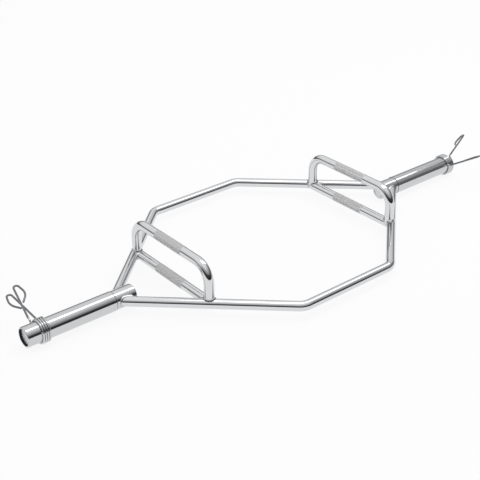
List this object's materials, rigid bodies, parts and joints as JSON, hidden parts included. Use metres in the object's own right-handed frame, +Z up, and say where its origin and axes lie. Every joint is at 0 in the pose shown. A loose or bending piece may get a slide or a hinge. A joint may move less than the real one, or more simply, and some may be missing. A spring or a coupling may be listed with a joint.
{
  "type": "hex trap bar",
  "caption": "Chromed hexagonal trap bar with low and raised knurled grips inside the frame, plain plate sleeves at the ends and squeeze spring collars on the sleeves.",
  "frame": {"origin": "on the floor under the middle of the bar, halfway between the two sleeves", "axes": "+X along the sleeves to the right-hand end, +Y from the front rail to the rear rail, +Z up from the floor"},
  "size_m": [1.4281, 0.639, 0.1509],
  "materials": {
    "chrome_bar": "polished chrome plate",
    "chrome_grip": "chrome plate, knurled in the middle of the grip",
    "chrome_sleeve": "polished chrome plate with faint wear rings",
    "weld": "plated weld bead with ripples",
    "plug": "satin",
    "spring_wire": "plated spring wire"
  },
  "bodies": {
    "bar": {"front_rail": "chrome_bar", "rear_rail": "chrome_bar", "right_low_handle": "chrome_grip", "right_high_handle": "chrome_grip", "right_hub_welds": "weld", "right_low_welds": "weld", "right_high_welds": "weld", "right_hub": "chrome_bar", "right_sleeve": "chrome_sleeve", "right_inner_plug": "plug", "right_outer_plug": "plug", "left_low_handle": "chrome_grip", "left_high_handle": "chrome_grip", "left_hub_welds": "weld", "left_low_welds": "weld", "left_high_welds": "weld", "left_hub": "chrome_bar", "left_sleeve": "chrome_sleeve", "left_inner_plug": "plug", "left_outer_plug": "plug"},
    "right_collar": {"right_coil": "spring_wire"},
    "right_outer_arm": {"right_outer_arm": "spring_wire"},
    "right_inner_arm": {"right_inner_arm": "spring_wire"},
    "left_collar": {"left_coil": "spring_wire"},
    "left_outer_arm": {"left_outer_arm": "spring_wire"},
    "left_inner_arm": {"left_inner_arm": "spring_wire"}
  },
  "joints": [
    {"name": "right_collar_slide", "type": "slide", "parent": "bar", "child": "right_collar", "axis": [1, 0, 0], "range_m": [-0.2025, 0.001]},
    {"name": "right_outer_squeeze", "type": "hinge", "parent": "right_collar", "child": "right_outer_arm", "pos_m": [0.70772, -0.01516, 0.06726], "axis": [1, 0, 0], "range_deg": [0, 19], "stiffness_Nm_per_rad": 13},
    {"name": "right_inner_squeeze", "type": "hinge", "parent": "right_collar", "child": "right_inner_arm", "pos_m": [0.68488, -0.03746, 0.04496], "axis": [1, 0, 0], "range_deg": [-19, 0], "stiffness_Nm_per_rad": 13},
    {"name": "left_collar_slide", "type": "slide", "parent": "bar", "child": "left_collar", "axis": [1, 0, 0], "range_m": [-0.031, 0.1725]},
    {"name": "left_outer_squeeze", "type": "hinge", "parent": "left_collar", "child": "left_outer_arm", "pos_m": [-0.67772, 0.03465, 0.0506], "axis": [1, 0, 0], "range_deg": [-4.5, 0], "stiffness_Nm_per_rad": 13},
    {"name": "left_inner_squeeze", "type": "hinge", "parent": "left_collar", "child": "left_inner_arm", "pos_m": [-0.65522, 0.04011, 0.03475], "axis": [1, 0, 0], "range_deg": [0, 4.5], "stiffness_Nm_per_rad": 13}
  ],
  "couplings": [
    {"joint": "right_inner_squeeze", "follows": "right_outer_squeeze", "ratio": -1},
    {"joint": "left_inner_squeeze", "follows": "left_outer_squeeze", "ratio": -1}
  ]
}
